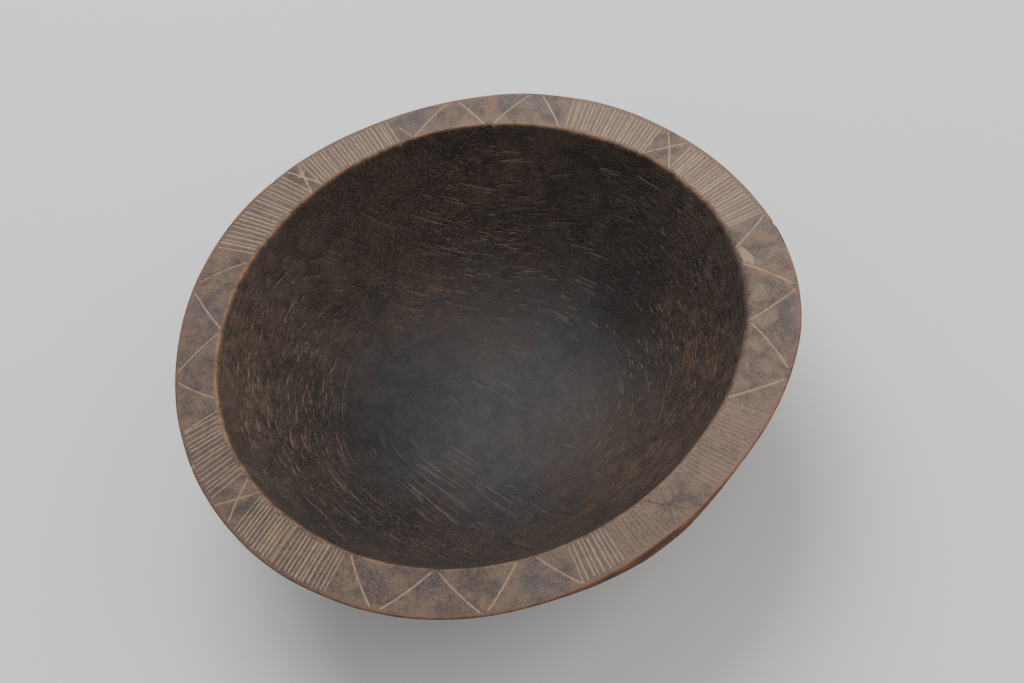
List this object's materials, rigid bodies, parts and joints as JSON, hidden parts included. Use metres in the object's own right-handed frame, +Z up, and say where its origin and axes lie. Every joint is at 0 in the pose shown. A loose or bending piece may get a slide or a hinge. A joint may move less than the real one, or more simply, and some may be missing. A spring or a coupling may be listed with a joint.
{
  "type": "carved wooden bowl",
  "caption": "Wide round bowl hewn from one block of dark wood, with a broad flat rim cut with hatching and zigzags and a small flat base.",
  "frame": {"origin": "centre of the flat base that the bowl rests on", "axes": "+Z up, out of the open side; +X and +Y across the bowl, with -Y the side nearest to the viewer"},
  "size_m": [0.4267, 0.4275, 0.125],
  "materials": {
    "dark_wood": "old dark patina, softly polished inside, dry and worn on the rim"
  },
  "bodies": {
    "root": {"bowl": "dark_wood"}
  },
  "joints": []
}
